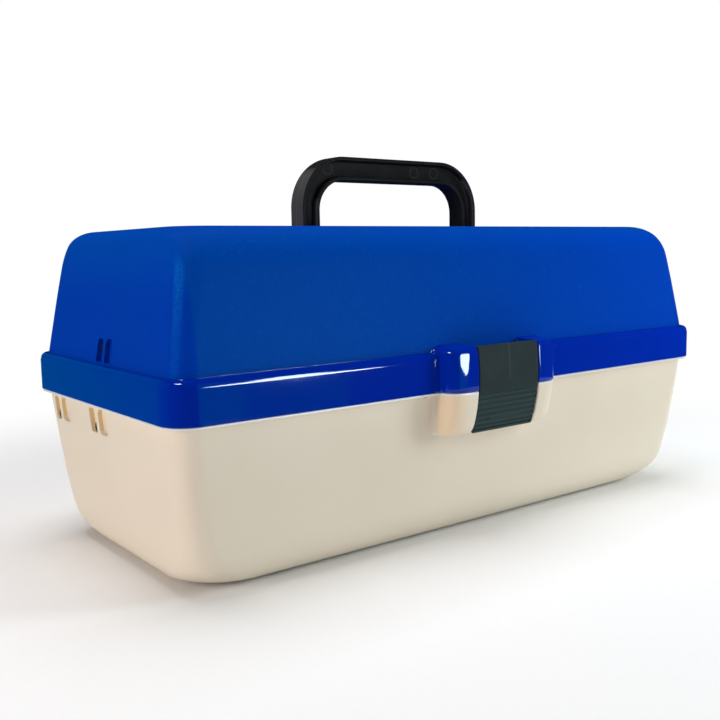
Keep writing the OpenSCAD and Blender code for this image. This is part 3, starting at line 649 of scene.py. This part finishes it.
def turned_steel():
    """Bright steel with fine rings where the tool turned it."""
    finish, place = start_finish("turned_steel")
    rings = (place.axis(0) * 9000).maths("SINE")
    end_finish(place, rings, 0.01, {
        "Base Color": linear(196, 198, 201), "Metallic": 1.0, "Roughness": 0.28 + rings * 0.05})
    return finish


def dress(finish, *patterns):
    """Gives a finish to the CAD nodes whose names match one of the patterns."""
    for name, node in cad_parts.items():
        if any(fnmatch(name, pattern) for pattern in patterns):
            node.data.materials.clear()
            node.data.materials.append(finish)


dress(turned_steel(), "*_pin*", "*_rivets")

# ---- Handle ----
# A bail in black plastic with a channel down each face, so that its section is an I. It turns on
# two pins at the feet of its legs and lies flat in the lid's pan when folded.


def moulded_black():
    """Black plastic: satin, greyed a little where hands rub it. The handle's outer sides are
    paler, with a rough parting line down the middle, and its grip has three round mould marks."""
    finish, place = start_finish("moulded_black")
    x, y, z = [place.axis(k) for k in range(3)]
    skin = place.grain(1.1, 3.0)
    rub = place.grain(14, 2.0).rise(0.35, 0.75)
    colour = (rub * 0.6).between(linear(28, 28, 29), linear(37, 37, 38))
    facing = place.node("ShaderNodeTexCoord", outlet="Normal").vector("ABSOLUTE")
    side = facing.axis(0).rise(0.55, 0.8) * x.maths("ABSOLUTE").rise(0.053, 0.054)
    side = side * z.rise(0.148, 0.15)
    colour = (side * 0.85).between(colour, linear(80, 80, 79))
    parting = y.maths("ABSOLUTE").rise(0.0006, 0.0002)
    colour = (parting * side * skin.rise(0.35, 0.6) * 0.6).between(colour, linear(96, 96, 96))
    for mark_x in (-0.0441, 0.0175, 0.0327):
        away = place.vector("DISTANCE", (mark_x, -0.002, 0.193), outlet="Value")
        ring = away.rise(0.0036, 0.0033) * away.rise(0.0022, 0.0031)
        colour = (ring * 0.5).between(colour, linear(66, 66, 66))
    end_finish(place, skin, 0.05, {
        "Base Color": colour, "Roughness": 0.42 + rub * 0.12, "Specular IOR Level": 0.03})
    return finish


handle_half, handle_top, handle_z, handle_t = 63.5, 199.5, 154.0, 12.0
leg_w, grip_h, outer_r, inner_r, rim_w, web_t = 11.3, 13.0, 28.0, 16.0, 2.2, 4.0
foot_z = handle_z - handle_t / 2 * np.sin(np.radians([90, 75, 60, 45, 30, 15, 0]))
leg_z = np.concatenate([foot_z, [handle_z + 7.9, handle_z + 8.1, handle_z + 10.5]])


def bail(radius, half, top):
    """The bail's edge in X and Z: up the right leg, round the corner, and over to the left leg's
    foot, with the same share of points on leg, corner and grip whatever the radius."""
    turn = np.radians(np.linspace(0, 90, 25))
    grip = np.linspace(half - radius, 0, 9)[1:]
    x = np.concatenate([half + 0 * leg_z, half - radius + radius * np.cos(turn), grip])
    z = np.concatenate([leg_z, top - radius + radius * np.sin(turn), top + 0 * grip])
    right = np.stack([x, z], axis=1)
    return np.concatenate([right, right[-2::-1] * [-1, 1]])


outer_edge = bail(outer_r, handle_half, handle_top)
inner_edge = bail(inner_r, handle_half - leg_w, handle_top - grip_h)
width = np.linalg.norm(outer_edge - inner_edge, axis=1)
across = (inner_edge - outer_edge) / width[:, None]
half_t = np.full(len(width), handle_t / 2)
half_t[:7] *= np.cos(np.radians([88, 75, 60, 45, 30, 15, 0]))
half_t[-7:] = half_t[:7][::-1]
sunk = np.full(len(width), handle_t / 2 - web_t / 2)
sunk[:8] = sunk[-8:] = 0
# One quarter of the section, from the middle of the outer face to the middle of the web: how far
# in from the outer edge, and how far out from the bar's middle plane. The edges are rounded.
soft = np.minimum(0.8, half_t * 0.4)
flat = 0 * soft
near = np.stack([
    flat, flat, 0.1 * soft, 0.35 * soft, 0.75 * soft, 1.2 * soft, rim_w - 0.5 + flat,
    rim_w - 0.15 + flat, rim_w + 0.05 + flat, rim_w + 0.25 + flat, rim_w + 0.9 + flat, width / 2])
rise = np.stack([
    flat, half_t - 1.2 * soft, half_t - 0.75 * soft, half_t - 0.35 * soft, half_t - 0.1 * soft,
    half_t, half_t, half_t - np.minimum(0.2, sunk), half_t - np.minimum(0.7, sunk),
    half_t - np.maximum(sunk - 0.5, 0), half_t - sunk, half_t - sunk])
far = width - near
depth = np.concatenate([near, far[-2::-1], far[1:], near[-2:0:-1]]).T
out = np.concatenate([rise, rise[-2::-1], -rise[1:], -rise[-2:0:-1]]).T
point = outer_edge[:, None, :] + depth[..., None] * across[:, None, :]
handle_rows = np.stack([point[..., 0], -out, point[..., 1]], axis=2)
cast("bail_handle", [loft(handle_rows[::-1])], [moulded_black()], "handle",
     ["handle"])

# ---- Latch ----
# A plate in dark grey-green plastic that swings on a steel pin in the lid: plain above, ribbed
# for the thumb below, with a hook behind it that snaps under the tub's ledge.


def moulded_grey():
    """Dark grey-green plastic: satin, paler over the ribbed lower part, with a faint flow line
    down the middle."""
    finish, place = start_finish("moulded_grey")
    x, z = place.axis(0), place.axis(2)
    skin = place.grain(1.0, 3.0)
    drift = place.grain(12, 1.0).rise(0.3, 0.7)
    colour = (drift * 0.6).between(linear(43, 54, 57), linear(48, 59, 62))
    colour = z.rise(0.079, 0.075).between(colour, linear(55, 69, 70))
    flow = x.maths("ABSOLUTE").rise(0.0005, 0.0002) * z.rise(0.080, 0.086)
    colour = (flow * 0.5).between(colour, linear(72, 82, 84))
    end_finish(place, skin, 0.04, {
        "Base Color": colour, "Roughness": 0.42 + skin * 0.1, "Specular IOR Level": 0.015})
    return finish


latch_half, latch_pin_y, latch_pin_z = 21.2, 89.0, 96.6
rib_low, rib_high, rib_pitch, rib_deep = 58.6, 77.2, 2.75, 0.76
face_z = np.concatenate([np.linspace(57.4, 77.5, 120), np.linspace(78.5, 100.4, 30)])
ribbed = (face_z < rib_high) & (face_z > rib_low)
wave = np.sin(2 * np.pi * (rib_high - face_z) / rib_pitch)
ribs = np.where(ribbed, np.clip(wave * 1.6, -1, 1) - 1, 0) * rib_deep / 2
face = np.stack([-bulge(face_z) - ribs, face_z], axis=1)
# The barrel's middle is 0.2 behind the pin and 0.4 above it, so that it swings clear of the skirt.
turn = np.radians(np.linspace(90, -50, 15))
barrel_r = 3.4
barrel = np.stack([0.2 - latch_pin_y + barrel_r * np.cos(turn),
                   0.4 + latch_pin_z + barrel_r * np.sin(turn)], axis=1)
top_edge = np.array([[-93.1, 101.05], [-92.6, 101.3]])
back = np.array([[-91.2, 91.5], [-91.5, 87.0], [-91.8, 80.1], [-90.6, 70.1], [-87.6, 59.0],
                 [-87.6, 57.6], [-88.6, 57.1]])
outline = np.concatenate([face, top_edge, barrel, back])
latch_skin = [slab(outline[::-1], -latch_half, latch_half, 0.5)]
hook = np.array([[-91.4, 67.9], [-87.8, 67.9], [-87.8, 66.9], [-90.6, 63.5], [-91.4, 63.5]])
latch_skin.append(slab(hook[::-1], -hook_half, hook_half, 0.2))
cast("latch_plate", latch_skin, [moulded_grey()], "latch", ["latch"])

# ---- Arms, links, trays and dividers ----
# Black arms and links snap into the tub and the lid, and carry two off-white trays with loose
# dividers. All are the CAD's own solids, given a finish.


def moulded_white():
    """Off-white plastic, satin."""
    finish, place = start_finish("moulded_white")
    skin = place.grain(1.2)
    drift = place.grain(40, 1.0).rise(0.3, 0.7)
    colour = (drift * 0.5).between(linear(226, 223, 214), linear(220, 216, 205))
    end_finish(place, skin, 0.03, {"Base Color": colour, "Roughness": 0.35 + skin * 0.1})
    return finish


dress(moulded_white(), "*_tray", "*_divider_*")
dress(bpy.data.materials["moulded_black"], "*_arm_*", "lid_link_*")

# ---- Studio ----
# A pale floor, a white background, and lamps to the left, in front on the right and above, none
# of which shows in the gloss. What shows there is two lamps that light nothing, and dim cards all
# round and overhead.


def seen(tree):
    """1 for the rays that show the background: the camera's, and those off gloss or through
    glass. 0 for the rest."""
    camera, glossy, transmission = [
        Wire(tree).node("ShaderNodeLightPath", outlet=f"Is {kind} Ray")
        for kind in ("Camera", "Glossy", "Transmission")]
    return (camera + glossy + transmission).rise(0.0, 1.0)


def stand(name, points, faces, finish):
    """Puts a sheet of the studio in the scene."""
    sheet = bpy.data.meshes.new(name)
    sheet.from_pydata(points, [], faces)
    sheet.materials.append(finish)
    sheet = bpy.data.objects.new(name, sheet)
    bpy.context.scene.collection.objects.link(sheet)
    return sheet


def floor_paper():
    """White paper that fades, away from the object, into the white of the background."""
    finish, place = start_finish("floor_paper")
    colour = place.grain(2.5, 3.0).between((0.93, 0.93, 0.93, 1), (0.9, 0.9, 0.9, 1))
    paper = place.node("ShaderNodeBsdfDiffuse", {}, {"Color": colour})
    white = place.node("ShaderNodeEmission", {}, {"Color": (1, 1, 1, 1), "Strength": 1.0})
    far = place.vector("LENGTH", outlet="Value").rise(0.22, 0.5) * seen(place.tree)
    surface = place.node("ShaderNodeMixShader", {}, {0: far, 1: paper, 2: white})
    place.node("ShaderNodeOutputMaterial", {}, {"Surface": surface})
    return finish


stand("floor", [(-9, -9, 0), (9, -9, 0), (9, 9, 0), (-9, 9, 0)], [(0, 1, 2, 3)], floor_paper())

world = bpy.data.worlds.new("studio")
bpy.context.scene.world = world
world.use_nodes = True
world.node_tree.nodes.clear()
shown = seen(world.node_tree)
glow = shown.node("ShaderNodeBackground", {}, {
    "Color": (1, 1, 1, 1), "Strength": 0.12 + shown * 0.88})
glow.node("ShaderNodeOutputWorld", {}, {"Surface": glow})


def soft_box(name, place, target, size, level, colour=(1, 1, 1), lights=True):
    """A lamp at place, facing target, of the given brightness: an area lamp's power is
    brightness * pi * width * height. It is a rectangle that lights the object and doesn't show in
    its gloss, or where lights is false an oval that only shows there, whose brightness comes out
    4 / pi times as high."""
    lamp = bpy.data.lights.new(name, "AREA")
    lamp.shape, lamp.size, lamp.size_y = "RECTANGLE" if lights else "ELLIPSE", *size
    lamp.energy, lamp.color = level * math.pi * size[0] * size[1], colour
    item = bpy.data.objects.new(name, lamp)
    aim = (Vector(target) - Vector(place)).to_track_quat("-Z", "Y").to_matrix().to_4x4()
    item.matrix_world = Matrix.Translation(place) @ aim
    item.visible_camera, item.visible_diffuse, item.visible_glossy = False, lights, not lights
    bpy.context.scene.collection.objects.link(item)


def card(name, start, end, colour, radius=0.46, foot=0.001, top=0.42, narrowing=1.0):
    """A curved card round the object from one bearing to another, in degrees, that glows in a
    colour. Only the gloss of the plastic shows it, as it shows a studio's darker sides. Its upper
    edge is narrowing times as wide as its lower one."""
    turn = np.radians(np.linspace(start, end, 33))
    ring = np.stack([radius * np.cos(turn), radius * np.sin(turn), 0 * turn + foot], axis=1)
    upper = ring * [narrowing, narrowing, 0] + [0, 0, top]
    points, faces = loft(np.stack([upper, ring]), closed=False, caps=False)
    finish, place = start_finish(name)
    shine = place.node("ShaderNodeEmission", {}, {"Color": (*colour, 1), "Strength": 1.0})
    place.node("ShaderNodeOutputMaterial", {}, {"Surface": shine})
    sheet = stand(name, points.tolist(), faces, finish)
    sheet.visible_camera = sheet.visible_diffuse = False
    sheet.visible_shadow = sheet.visible_transmission = False


soft_box("left_box", (-1.05, -0.135, 0.32), (-0.15, -0.05, 0.09), (0.18, 0.45), 16.4,
         (1.03, 0.915, 0.875))
soft_box("front_box", (0.8, -0.6, 0.35), (0.1, -0.05, 0.09), (0.3, 0.45), 14.8,
         (0.93, 1.02, 1.04))
soft_box("top_box", (0.0, 0.1, 1.3), (0, 0, 0.1), (1.2, 0.9), 3.9)
soft_box("cheek_strip", (0.085, -0.41, 0.123), (0.085, -0.09, 0.123), (0.19, 0.14), 31,
         lights=False)
soft_box("corner_spot", (-0.53, -0.19, 0.69), (-0.17, -0.08, 0.097), (0.25, 0.12), 40,
         lights=False)
dark = (0.01, 0.01, 0.012)
card("blue_card", 105, 186, (0.0, 0.22, 0.16))
card("left_card", 186, 257, dark)
card("green_card", 257, 277, (0.0, 0.6, 0.12))
card("dim_green_card", 277, 290, (0.0, 0.3, 0.07))
card("right_card", 290, 465, dark)
card("roof_card", 0, 360, dark, radius=1.6, foot=0.9, top=0.95, narrowing=0.0)

camera = bpy.data.cameras.new("camera")
camera.sensor_width, camera.lens = 36.0, 45.032
camera.clip_start, camera.clip_end = 0.01, 50
camera = bpy.data.objects.new("camera", camera)
camera.matrix_world = Matrix((
    (0.79443, 0.08708, -0.60108, -0.33196), (-0.60706, 0.08320, -0.79029, -0.40623),
    (-0.01880, 0.99272, 0.11896, 0.14787), (0, 0, 0, 1)))
bpy.context.scene.collection.objects.link(camera)
bpy.context.scene.camera = camera
bpy.context.scene.view_settings.view_transform = "Standard"
